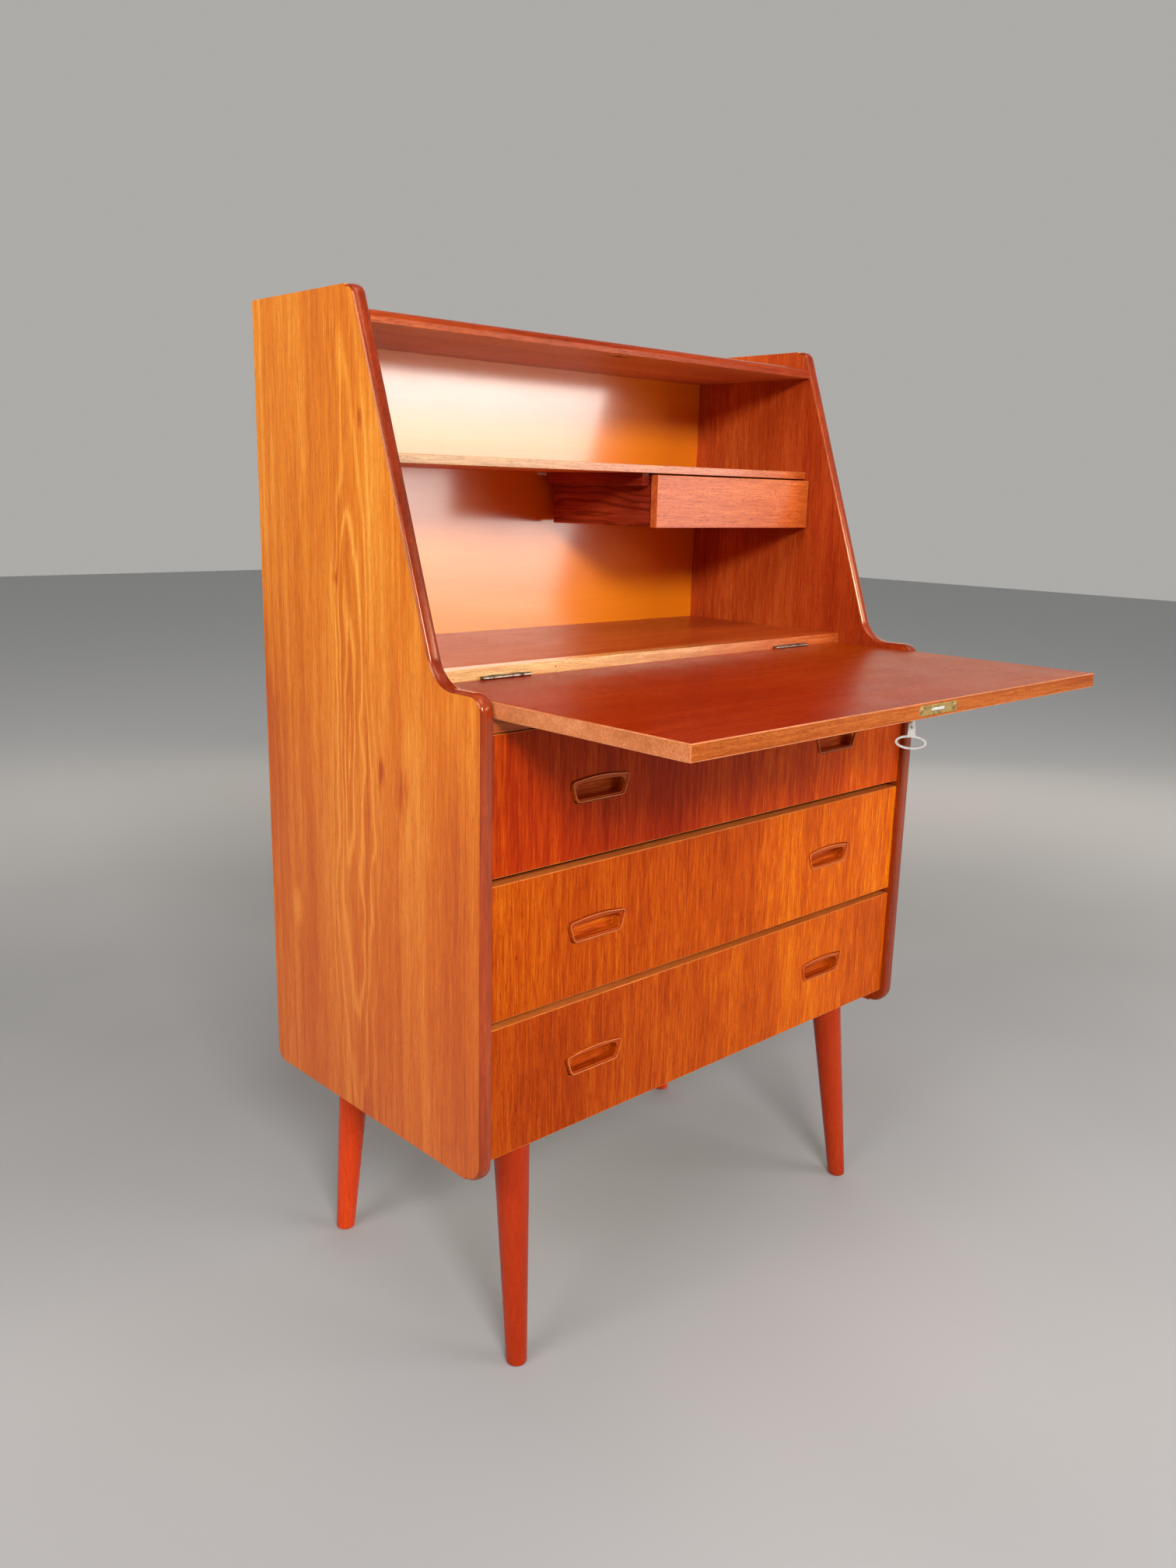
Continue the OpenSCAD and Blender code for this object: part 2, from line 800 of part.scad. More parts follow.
place() {
    left_side_panel();
    right_side_panel();
    left_edge_lipping();
    right_edge_lipping();
    top_board();
    top_board_lipping();
    back_panel();
    back_panel_screws();
    shelf();
    shelf_lipping();
    desk_board();
    desk_board_lipping();
    front_rail();
    dust_board();
    bottom_board();
    left_drawer_runners();
    right_drawer_runners();
    small_drawer_runners();
    for (i = [0 : 2], piece = DRAWER_PIECES)
        drawer_piece(i, piece);
    for (piece = SMALL_PIECES)
        small_piece(piece);
    for (i = [0 : 3])
        leg(i);
    leg_plates();
    leg_plate_screws();
    flap_panel();
    flap_edging();
    hinge_fixed_leaves();
    hinge_moving_leaves();
    hinge_pins();
    carcass_screws();
    flap_screws();
    lock_case();
    lock_plate();
    lock_bolt();
    strike_plate();
    key();
}
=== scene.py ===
"""Looks of the drop-front secretary desk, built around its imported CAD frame.

Everything is in metres, in the frame's own axes: the desk's front faces -Y and +Z is up.
"""

import json
import math
import random

import bmesh
import bpy
from mathutils import Matrix, Vector


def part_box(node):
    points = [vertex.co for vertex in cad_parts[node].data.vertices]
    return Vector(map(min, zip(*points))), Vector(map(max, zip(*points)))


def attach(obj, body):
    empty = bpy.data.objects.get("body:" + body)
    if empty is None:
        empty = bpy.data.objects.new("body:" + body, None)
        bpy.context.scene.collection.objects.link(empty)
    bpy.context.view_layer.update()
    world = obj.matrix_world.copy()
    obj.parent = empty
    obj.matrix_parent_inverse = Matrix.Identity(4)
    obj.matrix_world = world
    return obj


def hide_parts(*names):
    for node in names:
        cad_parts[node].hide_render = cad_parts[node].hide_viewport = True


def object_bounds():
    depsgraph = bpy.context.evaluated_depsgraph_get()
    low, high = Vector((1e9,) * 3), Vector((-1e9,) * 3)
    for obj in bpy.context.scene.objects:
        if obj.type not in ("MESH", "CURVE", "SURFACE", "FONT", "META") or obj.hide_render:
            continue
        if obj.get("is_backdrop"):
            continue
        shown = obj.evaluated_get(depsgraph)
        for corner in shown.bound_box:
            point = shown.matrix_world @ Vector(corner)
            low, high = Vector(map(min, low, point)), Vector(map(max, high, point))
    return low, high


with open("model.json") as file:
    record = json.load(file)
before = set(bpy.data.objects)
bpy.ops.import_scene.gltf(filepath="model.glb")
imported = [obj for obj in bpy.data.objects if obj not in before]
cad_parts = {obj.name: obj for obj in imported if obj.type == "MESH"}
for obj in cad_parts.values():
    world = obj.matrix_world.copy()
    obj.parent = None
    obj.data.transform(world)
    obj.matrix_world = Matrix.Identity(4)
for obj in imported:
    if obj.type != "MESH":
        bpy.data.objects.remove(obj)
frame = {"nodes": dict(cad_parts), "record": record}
CAD_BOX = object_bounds()
NODES = frame["nodes"]
BODY_OF = {
    node: body for body, nodes in frame["record"]["behaviour"]["bodies"].items() for node in nodes
}
FEET = {mount["name"]: Vector(mount["pos_m"]) for mount in frame["record"]["mounts"]}
MM = 0.001
X, Y, Z = 0, 1, 2
DRAWERS = ("bottom_drawer", "middle_drawer", "top_drawer")
LEGS = ("front_left_leg", "front_right_leg", "back_left_leg", "back_right_leg")


# ---------------------------------------------------------------- shader building


def srgb(red, green, blue):
    """Linear colour of a screen colour given from 0 to 255."""
    return tuple(
        c / 12.92 if c <= 0.04045 else ((c + 0.055) / 1.055) ** 2.4
        for c in (red / 255, green / 255, blue / 255)
    ) + (1.0,)


class Shader:
    """A node material, with one short call for each kind of node it needs."""

    def __init__(self, name):
        self.material = bpy.data.materials.new(name)
        self.material.use_nodes = True
        self.tree = self.material.node_tree
        self.surface = self.tree.nodes["Principled BSDF"]
        self.place = self.add("ShaderNodeTexCoord").outputs["Object"]

    def add(self, kind, values=(), **settings):
        node = self.tree.nodes.new(kind)
        for name, value in settings.items():
            setattr(node, name, value)
        for key, value in dict(values).items():
            self.put(node.inputs[key], value)
        return node

    def put(self, socket, value):
        if isinstance(value, bpy.types.NodeSocket):
            self.tree.links.new(value, socket)
        else:
            socket.default_value = value

    def math(self, operation, a, b=0.0, c=0.0):
        node = self.add("ShaderNodeMath", {0: a, 1: b, 2: c}, operation=operation)
        return node.outputs[0]

    def length(self, a, b):
        """The length of a vector with parts a and b."""
        squares = self.math("ADD", self.math("MULTIPLY", a, a), self.math("MULTIPLY", b, b))
        return self.math("SQRT", squares)

    def stretched(self, lengths_mm, shift=(0.0, 0.0, 0.0)):
        """The surface's place, with one unit of each axis as long as lengths_mm says."""
        scale = [1 / (length * MM) for length in lengths_mm]
        return self.add(
            "ShaderNodeMapping", {"Vector": self.place, "Scale": scale, "Location": shift}
        ).outputs[0]

    def noise(self, vector, detail=2.0, roughness=0.5, distortion=0.0):
        values = {
            "Vector": vector,
            "Scale": 1.0,
            "Detail": detail,
            "Roughness": roughness,
            "Distortion": distortion,
        }
        return self.add("ShaderNodeTexNoise", values).outputs["Fac"]

    def between(self, value, low, high, to_low=0.0, to_high=1.0):
        """value mapped smoothly from low..high to to_low..to_high, held at the ends."""
        values = {
            "Value": value,
            "From Min": low,
            "From Max": high,
            "To Min": to_low,
            "To Max": to_high,
        }
        node = self.add("ShaderNodeMapRange", values, interpolation_type="SMOOTHSTEP")
        return node.outputs["Result"]

    def ramp(self, value, stops):
        node = self.add("ShaderNodeValToRGB", {"Fac": value})
        elements = node.color_ramp.elements
        while len(elements) < len(stops):
            elements.new(0.5)
        for element, (position, colour) in zip(elements, stops):
            element.position = position
            element.color = colour
        return node.outputs["Color"]

    def mix(self, factor, a, b, blend="MIX"):
        values = {0: factor, 6: a, 7: b}
        return self.add("ShaderNodeMix", values, data_type="RGBA", blend_type=blend).outputs[2]

    def bump(self, height, depth_mm):
        node = self.add("ShaderNodeBump", {"Height": height, "Distance": depth_mm * MM})
        self.put(self.surface.inputs["Normal"], node.outputs[0])

    def finish(self, **sockets):
        for name, value in sockets.items():
            self.put(self.surface.inputs[name.replace("_", " ")], value)
        return self.material


def along_grain(grain, along, across):
    """Lengths for the three axes: one along the grain axis, and one for the other two."""
    return [along if axis == grain else across for axis in (X, Y, Z)]


WARM_GLARE = srgb(255, 196, 150)
WHITE_GLARE = srgb(255, 255, 255)
NO_TINT = (1.0, 1.0, 1.0)

# Each layer of the grain: its lengths along and over the fibres in mm, then the detail, the
# roughness and the distortion of its noise, then its strength.
GRAIN_LAYERS = {
    "fibre": ((22, 0.9), (3.0, 0.62, 0.0), 0.7),
    "dashes": ((46, 2.2), (2.0, 0.6, 0.25), 0.8),
    "strips": ((360, 11), (2.0, 0.55, 0.5), 0.5),
    "drift": ((620, 85), (2.0, 0.5, 0.5), 0.8),
}
TONE_STOPS = (0.18, 0.5, 0.82)
PORE_WIDTH_MM = 0.55
PORE_NOISE = (0.60, 0.70)
PORE_SHADE = 0.35
PORE_ROUGHENING = 0.2
SMUDGE_MM = 55
SMUDGE_NOISE = (0.3, 0.7)
SMUDGE_ROUGHNESS = (-0.02, 0.03)


def wood(
    name,
    tones,
    grain=Z,
    across=X,
    seed=0,
    streak=1.0,
    bands=1.0,
    arches=0.0,
    arch_mm=14.0,
    heart_mm=(0, 0),
    pores=0.5,
    pore_mm=7.0,
    gloss=0.3,
    specular=0.4,
    glare=WARM_GLARE,
    coat=0.0,
    coat_rough=0.16,
    coat_ior=1.5,
    relief=0.05,
    fade=None,
    knots=(),
):
    """Lacquered wood with streaks, drifting bands, arched figure, knots and pores.

    tones are its dark, middle and light colours. grain is the axis that the fibres follow, and
    across is the axis over them on the face that shows. streak scales the fine layers of the
    grain and bands the broad ones. arches is the strength of the figure, which below 0 is
    lighter than the wood. gloss is the roughness, and glare the tint of the highlights. fade is
    (axis, start, end, tint at the start, tint at the end), in mm: a slow change of tint along
    an axis, which paints light and shade on the wood. knots are (across, along, size, depth),
    in mm but for the depth.
    """
    s = Shader(name)
    shift = (seed * 7.31, seed * 3.17, seed * 5.71)
    scales = {"fibre": streak, "dashes": streak, "strips": bands, "drift": bands}
    noises, strengths = {}, {}
    for layer, (size_mm, look, strength) in GRAIN_LAYERS.items():
        noises[layer] = s.noise(s.stretched(along_grain(grain, *size_mm), shift), *look)
        strengths[layer] = strength * scales[layer]
    tone = 0.5 - 0.5 * sum(strengths.values())
    for layer, strength in strengths.items():
        tone = s.math("MULTIPLY_ADD", noises[layer], strength, tone)
    if arches:
        rings = arched_figure(s, grain, across, heart_mm, arch_mm, shift)
        tone = s.math("MULTIPLY_ADD", rings, -arches, tone)
    for *knot, depth in knots:
        stain = knot_shade(s, grain, across, knot, noises["dashes"])
        tone = s.math("MULTIPLY_ADD", stain, -depth, tone)
    colour = s.ramp(tone, list(zip(TONE_STOPS, tones)))
    pore = s.noise(s.stretched(along_grain(grain, pore_mm, PORE_WIDTH_MM), shift), 1.0, 0.4)
    pit = s.between(pore, *PORE_NOISE, 0.0, pores)
    dark_pore = tuple(PORE_SHADE * c for c in tones[0][:3]) + (1.0,)
    colour = s.mix(pit, colour, dark_pore)
    # fade paints light and shade: a tint that lightens or darkens the wood along an axis.
    if fade:
        axis, start_mm, end_mm, first, last = fade
        where = s.add("ShaderNodeSeparateXYZ", {0: s.place}).outputs[axis]
        share = s.between(where, start_mm * MM, end_mm * MM)
        tint = s.mix(share, first + (1.0,), last + (1.0,))
        colour = s.mix(1.0, colour, tint, "MULTIPLY")
    height = s.math("MULTIPLY_ADD", noises["fibre"], 0.6, s.math("MULTIPLY", pit, -1.0))
    s.bump(height, relief)
    smudge = s.noise(s.stretched((SMUDGE_MM,) * 3, shift), 3.0, 0.6)
    smudged = s.between(smudge, *SMUDGE_NOISE, *(gloss + change for change in SMUDGE_ROUGHNESS))
    return s.finish(
        Base_Color=colour,
        Roughness=s.math("MULTIPLY_ADD", pit, PORE_ROUGHENING, smudged),
        Specular_IOR_Level=specular,
        Specular_Tint=glare,
        Coat_Weight=coat,
        Coat_Roughness=coat_rough,
        Coat_IOR=coat_ior,
    )


RING_SLOPE = 0.085
RING_WARP_MM = (260, 60)
RING_WANDER_MM = 70
RING_SHARPNESS = 4.0
RINGS_FADING = (2, 6)


def arched_figure(s, grain, across, heart_mm, ring_mm, shift):
    """Growth rings cut at a low angle, which show as long loops nested round a heart.

    heart_mm is the heart's place across the grain and along it. The loops fade out between the
    two ring counts of RINGS_FADING.
    """
    parts = s.add("ShaderNodeSeparateXYZ", {0: s.place}).outputs
    heart_across, heart_along = (place * MM for place in heart_mm)
    warp = s.noise(s.stretched(along_grain(grain, *RING_WARP_MM), shift), 2.0)
    wander = s.math("MULTIPLY_ADD", warp, RING_WANDER_MM * MM, -RING_WANDER_MM / 2 * MM)
    side = s.math("ADD", s.math("SUBTRACT", parts[across], heart_across), wander)
    depth = s.math("MULTIPLY_ADD", parts[grain], RING_SLOPE, -RING_SLOPE * heart_along)
    depth = s.math("MULTIPLY_ADD", wander, 0.5, depth)
    radius = s.length(side, depth)
    turns = s.math("MULTIPLY", radius, 2 * math.pi / (ring_mm * MM))
    wave = s.math("MULTIPLY_ADD", s.math("SINE", turns), 0.5, 0.5)
    near, far = (count * ring_mm * MM for count in RINGS_FADING)
    ring = s.math("POWER", wave, RING_SHARPNESS)
    return s.math("MULTIPLY", ring, s.between(radius, near, far, 1.0, 0.0))


KNOT_STRETCH = 2.4
KNOT_WARP = 1.6
KNOT_EDGE = (0.1, 1.0)


def knot_shade(s, grain, across, knot, warp):
    """How deep a point lies in the stain round a knot at knot = (across, along, size), in mm."""
    parts = s.add("ShaderNodeSeparateXYZ", {0: s.place}).outputs
    knot_across, knot_along, size = (length * MM for length in knot)
    side = s.math("DIVIDE", s.math("SUBTRACT", parts[across], knot_across), size)
    run = s.math("DIVIDE", s.math("SUBTRACT", parts[grain], knot_along), KNOT_STRETCH * size)
    ragged = s.math("MULTIPLY_ADD", warp, KNOT_WARP, -KNOT_WARP / 2)
    return s.between(s.math("ADD", s.length(side, run), ragged), *KNOT_EDGE, 1.0, 0.0)


PATCH_MM = 9
PATCH_NOISE = (0.42, 0.66)
STAIN_MM = 1.6
STAIN_NOISE = (0.6, 0.74)
SCRATCH_MM = (14, 0.35, 0.35)
METAL_ROUGHENING = 0.22


def metal(name, base, tarnish, rough=0.3, spots=0.5, seed=0, relief=0.03):
    """Worn metal with patches of tarnish, small stains and fine scratches."""
    s = Shader(name)
    shift = (seed * 3.3, seed * 1.7, seed * 2.9)
    patch = s.noise(s.stretched((PATCH_MM,) * 3, shift), 4.0, 0.65)
    stain = s.noise(s.stretched((STAIN_MM,) * 3, shift), 3.0, 0.6)
    scratch = s.noise(s.stretched(SCRATCH_MM, shift), 2.0, 0.5)
    patches = s.between(patch, *PATCH_NOISE, 0.0, spots)
    worn = s.math("ADD", patches, s.between(stain, *STAIN_NOISE, 0.0, spots / 2))
    s.bump(s.math("MULTIPLY_ADD", stain, 0.6, scratch), relief)
    return s.finish(
        Base_Color=s.mix(worn, base, tarnish),
        Metallic=1.0,
        Roughness=s.between(patch, 0.3, 0.7, rough, rough + METAL_ROUGHENING),
    )


# ---------------------------------------------------------------- mesh building

NORMAL_WEIGHT = 100
FLAT_ANGLE = math.radians(0.5)
SHARP_ANGLE = math.radians(35)
SAME_POINT = 1e-6
BEVEL_SEGMENTS = 2
SQUARE_ON = 0.95


def mesh_object(name, vertices, faces):
    mesh = bpy.data.meshes.new(name)
    mesh.from_pydata(vertices, [], faces)
    mesh.validate()
    piece = bpy.data.objects.new(name, mesh)
    bpy.context.scene.collection.objects.link(piece)
    return piece


def apply_modifiers(piece):
    """Puts the result of piece's modifiers into its own mesh."""
    graph = bpy.context.evaluated_depsgraph_get()
    done = bpy.data.meshes.new_from_object(piece.evaluated_get(graph))
    piece.modifiers.clear()
    piece.data = done


def smooth(piece):
    """Smooth shading that keeps the flat faces flat."""
    for polygon in piece.data.polygons:
        polygon.use_smooth = True
    piece.modifiers.new("normals", "WEIGHTED_NORMAL").weight = NORMAL_WEIGHT
    apply_modifiers(piece)


def stand_in(piece, nodes, materials):
    """piece takes the place of CAD nodes of one body, with the materials given."""
    first = nodes[0]
    piece.data.materials.clear()
    for material in materials:
        piece.data.materials.append(material)
    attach(piece, BODY_OF[first])
    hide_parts(*nodes)
    return piece


def softened(node, radius_mm, joint_mm=0.12, at_edge=None):
    """A copy of a CAD node's mesh whose sharp edges are rounded.

    at_edge says of an edge's middle whether it gets radius_mm. The other edges, which lie
    against a neighbour, get joint_mm.
    """
    piece = bpy.data.objects.new(node + "_visual", NODES[node].data.copy())
    bpy.context.scene.collection.objects.link(piece)
    mesh = bmesh.new()
    mesh.from_mesh(piece.data)
    bmesh.ops.remove_doubles(mesh, verts=mesh.verts, dist=SAME_POINT)
    bmesh.ops.dissolve_limit(mesh, angle_limit=FLAT_ANGLE, verts=mesh.verts, edges=mesh.edges)
    for free, size in ((True, radius_mm), (False, joint_mm)):
        edges = [
            e
            for e in mesh.edges
            if e.is_manifold
            and e.calc_face_angle(0.0) > SHARP_ANGLE
            and (at_edge is None or at_edge((e.verts[0].co + e.verts[1].co) / 2)) == free
        ]
        if edges and size:
            bmesh.ops.bevel(
                mesh,
                geom=edges,
                offset=size * MM,
                segments=BEVEL_SEGMENTS,
                profile=0.5,
                affect="EDGES",
                clamp_overlap=True,
            )
    bmesh.ops.remove_doubles(mesh, verts=mesh.verts, dist=2 * SAME_POINT)
    mesh.to_mesh(piece.data)
    mesh.free()
    smooth(piece)
    return piece


def board(node, material, radius_mm=0.6, faces=None, arris=None, at_edge=None, joint_mm=0.12):
    """A CAD node as a board with softened edges.

    faces maps (axis, sign) to the material of the faces that look that way, and arris is the
    material of the rounded edges.
    """
    piece = softened(node, radius_mm, joint_mm, at_edge=at_edge)
    faces = faces or {}
    stand_in(piece, [node], [material, *faces.values()] + ([arris] if arris else []))
    for polygon in piece.data.polygons:
        normal = polygon.normal
        for index, (axis, sign) in enumerate(faces, start=1):
            if normal[axis] * sign > SQUARE_ON:
                polygon.material_index = index
        if arris and max(abs(c) for c in normal) < SQUARE_ON:
            polygon.material_index = len(faces) + 1
    return piece


def loft(name, loops):
    """A skin over loops with equal numbers of points, closed at both ends."""
    count = len(loops[0])
    faces = [tuple(range(count)), tuple(range((len(loops) - 1) * count, len(loops) * count))]
    for row in range(len(loops) - 1):
        here, there = row * count, (row + 1) * count
        for i in range(count):
            j = (i + 1) % count
            faces.append((here + i, here + j, there + j, there + i))
    piece = mesh_object(name, [point for loop in loops for point in loop], faces)
    mesh = bmesh.new()
    mesh.from_mesh(piece.data)
    bmesh.ops.recalc_face_normals(mesh, faces=mesh.faces)
    mesh.to_mesh(piece.data)
    mesh.free()
    return piece


def joined(name, pieces):
    """One object out of several."""
    mesh = bmesh.new()
    for piece in pieces:
        mesh.from_mesh(piece.data)
        bpy.data.objects.remove(piece)
    result = bpy.data.objects.new(name, bpy.data.meshes.new(name))
    bpy.context.scene.collection.objects.link(result)
    mesh.to_mesh(result.data)
    mesh.free()
    return result


def rounded(corners, steps=8):
    """Points of a counter-clockwise outline whose corners (x, y, radius) are rounded."""
    points = []
    for i, (x, y, radius) in enumerate(corners):
        corner = Vector((x, y))
        back = (Vector(corners[i - 1][:2]) - corner).normalized()
        ahead = (Vector(corners[(i + 1) % len(corners)][:2]) - corner).normalized()
        half = back.angle(ahead) / 2
        centre = corner + (back + ahead).normalized() * radius / math.sin(half)
        start = corner + back * radius / math.tan(half) - centre
        end = corner + ahead * radius / math.tan(half) - centre
        sweep = math.atan2(start.cross(end), start.dot(end))
        for k in range(steps + 1):
            points.append(centre + Matrix.Rotation(sweep * k / steps, 2) @ start)
    return points


def outward(points, i):
    """The outward direction at a point of a closed counter-clockwise run."""
    along = (points[(i + 1) % len(points)] - points[i - 1]).normalized()
    return Vector((along.y, -along.x))


def grown(points, distance):
    """A closed run of points moved outwards."""
    return [point + outward(points, i) * distance for i, point in enumerate(points)]


# ---------------------------------------------------------------- woods and metals

# The dark, middle and light colour of each wood.
SIDE_TONES = (srgb(188, 76, 8), srgb(222, 115, 16), srgb(246, 156, 46))
# Painted shade: the inner faces of the side panels are a darker, redder copy of their veneer.
INNER_SHADED_TONES = (srgb(140, 44, 12), srgb(176, 68, 20), srgb(200, 96, 34))
# Painted light: the undersides get a paler copy of the veneer, to lift their shade.
UNDER_LIT_TONES = (srgb(190, 104, 54), srgb(212, 126, 70), srgb(230, 152, 98))
LIPPING_TONES = (srgb(96, 22, 6), srgb(136, 40, 12), srgb(168, 66, 26))
FRONT_TONES = (srgb(140, 42, 1), srgb(184, 70, 3), srgb(218, 112, 12))
# Painted shade: the top drawer front is darker and redder, for the shadow that the flap casts on
# it.
TOP_FRONT_SHADED_TONES = (srgb(128, 28, 1), srgb(166, 46, 3), srgb(202, 80, 8))
# Painted shade: the bottom drawer front is a little darker, where less light falls.
LOW_FRONT_SHADED_TONES = (srgb(134, 42, 2), srgb(178, 68, 5), srgb(210, 106, 16))
PULL_TONES = (srgb(128, 42, 5), srgb(174, 66, 9), srgb(212, 106, 26))
EDGE_TONES = (srgb(138, 52, 20), srgb(178, 80, 34), srgb(206, 112, 56))
# Painted light: the top edges and arrises of the drawer fronts are a paler tan, so that they read
# lit in the shaded gaps.
RIM_LIT_TONES = (srgb(190, 94, 36), srgb(208, 114, 46), srgb(226, 142, 74))
FLAP_TONES = (srgb(130, 29, 2), srgb(152, 39, 4), srgb(172, 56, 11))
FLAP_EDGE_TONES = (srgb(174, 98, 56), srgb(202, 122, 76), srgb(222, 148, 102))
# Painted shade: the front face of the flap edging is a darker copy of the edging's tone.
FLAP_FRONT_SHADED_TONES = (srgb(130, 54, 12), srgb(156, 73, 20), srgb(180, 98, 38))
DESK_TONES = (srgb(142, 50, 16), srgb(178, 74, 28), srgb(200, 100, 46))
BEECH_TONES = (srgb(160, 66, 20), srgb(190, 88, 30), srgb(214, 120, 56))
PALE_TONES = (srgb(196, 144, 96), srgb(224, 180, 134), srgb(240, 206, 168))
SMALL_TONES = (srgb(172, 68, 20), srgb(198, 92, 30), srgb(220, 122, 56))
BACK_TONES = (srgb(240, 126, 5), srgb(248, 140, 8), srgb(254, 158, 18))
LEG_TONES = (srgb(156, 37, 9), srgb(184, 52, 17), srgb(206, 76, 32))
DARK_TONES = (srgb(136, 46, 20), srgb(172, 64, 32), srgb(196, 92, 52))
PLY_TONES = (srgb(176, 132, 86), srgb(204, 164, 116), srgb(224, 190, 146))
NICKEL_DULL = srgb(104, 100, 96)

# Each fade is (axis, start, end, tint at the start, tint at the end), in mm. Each is painted
# light and shade: it lightens or darkens a wood along the axis, where light falls more or less.
# Painted light on the side panels: a paler, yellower sheen towards the top, painted shade towards
# the bottom.
SIDE_PAINTED_LIGHT = (Z, 300, 1050, (0.84, 0.69, 0.95), (1.04, 1.3, 2.3))
# Painted light and shade on the inner faces: darker towards the front, lighter towards the back.
INNER_PAINTED_LIGHT = (Y, 60, 310, (0.76, 0.62, 0.8), (1.35, 1.65, 2.0))
# Paler and more golden towards the nosing's left end: partly its worn top edge, partly painted
# highlight.
NOSING_WEAR_AND_HIGHLIGHT = (X, -340, 60, (1.3, 1.9, 2.1), NO_TINT)
# Painted glare on the beech lippings: paler and creamier towards their left ends.
SHELF_BEECH_PAINTED_GLARE = (X, -300, 160, (0.92, 2.5, 5.0), NO_TINT)
DESK_BEECH_PAINTED_GLARE = (X, -220, 270, (1.4, 4.0, 9.5), NO_TINT)
# Painted light and shade on the top drawer front: darker at its left under the flap's painted
# shadow, lighter and yellower towards the right.
TOP_FRONT_PAINTED_LIGHT = (X, -100, 350, (0.92, 0.82, 0.9), (1.6, 2.4, 0.8))
# Painted light on the middle drawer front: darker at the left, lighter and yellower towards the
# right.
FRONT_PAINTED_LIGHT = (X, -250, 350, (0.86, 0.84, 1.0), (1.28, 1.6, 0.8))
# Painted light and shade on the bottom drawer front: darker at the left, lighter towards the right.
LOW_FRONT_PAINTED_LIGHT = (X, -250, 350, (0.84, 0.77, 1.0), (1.35, 1.65, 0.8))
# Painted sheen on the flap: paler and pinkish grey towards the right.
FLAP_PAINTED_SHEEN = (X, -120, 350, (0.93, 0.88, 0.8), (1.0, 1.75, 1.6))
# Painted light on the legs: the front legs darker, the back legs lighter.
LEG_PAINTED_LIGHT = (Y, 120, 290, (0.8, 0.8, 0.88), (1.4, 1.5, 1.5))
# Painted shade on the small drawer's sides and runners: darker towards their front ends.
DARK_PAINTED_SHADE = (Y, 120, 250, (0.56, 0.4, 0.62), NO_TINT)

# Each knot is (across the grain, along it, size, depth), and below 0 its depth is lighter.
SIDE_KNOTS = (
    (88, 646, 9, 0.4),
    (52, 630, 16, 0.25),
    (166, 837, 5, 0.4),
    (115, 995, 6, 0.25),
    (262, 454, 14, -0.3),
)
SIDE_VENEER = wood(
    "side_veneer",
    SIDE_TONES,
    Z,
    Y,
    1,
    streak=0.62,
    bands=1.1,
    pores=0.34,
    arches=-0.3,
    arch_mm=10,
    heart_mm=(138, 620),
    glare=WHITE_GLARE,
    fade=SIDE_PAINTED_LIGHT,
    knots=SIDE_KNOTS,
)
INNER_SHADED_VENEER = wood(
    "inner_shaded_veneer", INNER_SHADED_TONES, Z, Y, 2, gloss=0.34, specular=0.3, fade=INNER_PAINTED_LIGHT
)
TOP_VENEER = wood("top_veneer", SIDE_TONES, X, Y, 11)
UNDER_LIT_VENEER = wood("under_lit_veneer", UNDER_LIT_TONES, X, Y, 21, gloss=0.4, specular=0.3)
DESK_VENEER = wood("desk_veneer", DESK_TONES, X, Y, 12, specular=0.09)
LIPPING_LOOK = dict(streak=0.6, gloss=0.22, specular=0.9, coat=0.14, coat_rough=0.04)
LIPPING = wood("teak_lipping", LIPPING_TONES, Z, X, 3, **LIPPING_LOOK)
NOSING_LOOK = dict(streak=0.7, gloss=0.2, specular=0.25, fade=NOSING_WEAR_AND_HIGHLIGHT)
LIPPING_X = wood("teak_nosing", LIPPING_TONES, X, Z, 13, **NOSING_LOOK)
BEECH_LOOK = dict(
    grain=X,
    across=Z,
    pores=0.8,
    pore_mm=5,
    specular=0.5,
    glare=WHITE_GLARE,
    coat=0.9,
    coat_rough=0.11,
    coat_ior=1.6,
)
SHELF_BEECH = wood("shelf_beech", BEECH_TONES, seed=4, fade=SHELF_BEECH_PAINTED_GLARE, **BEECH_LOOK)
DESK_BEECH = wood("desk_beech", BEECH_TONES, seed=29, fade=DESK_BEECH_PAINTED_GLARE, **BEECH_LOOK)
PALE_LOOK = dict(pores=0.6, pore_mm=5, gloss=0.5)
PALE_X = wood("pale_back", PALE_TONES, X, Z, 22, **PALE_LOOK)
PALE_Y = wood("pale_rail", PALE_TONES, Y, Z, 5, **PALE_LOOK)
PLY_FIGURE = dict(arches=0.3, arch_mm=24, heart_mm=(60, 900))
PLY = wood("plywood", PLY_TONES, X, Y, 6, pores=0.3, gloss=0.55, **PLY_FIGURE)
FRONT_LOOK = dict(
    grain=Z,
    across=X,
    streak=0.95,
    bands=0.75,
    specular=0.1,
    arches=0.12,
    arch_mm=12,
)
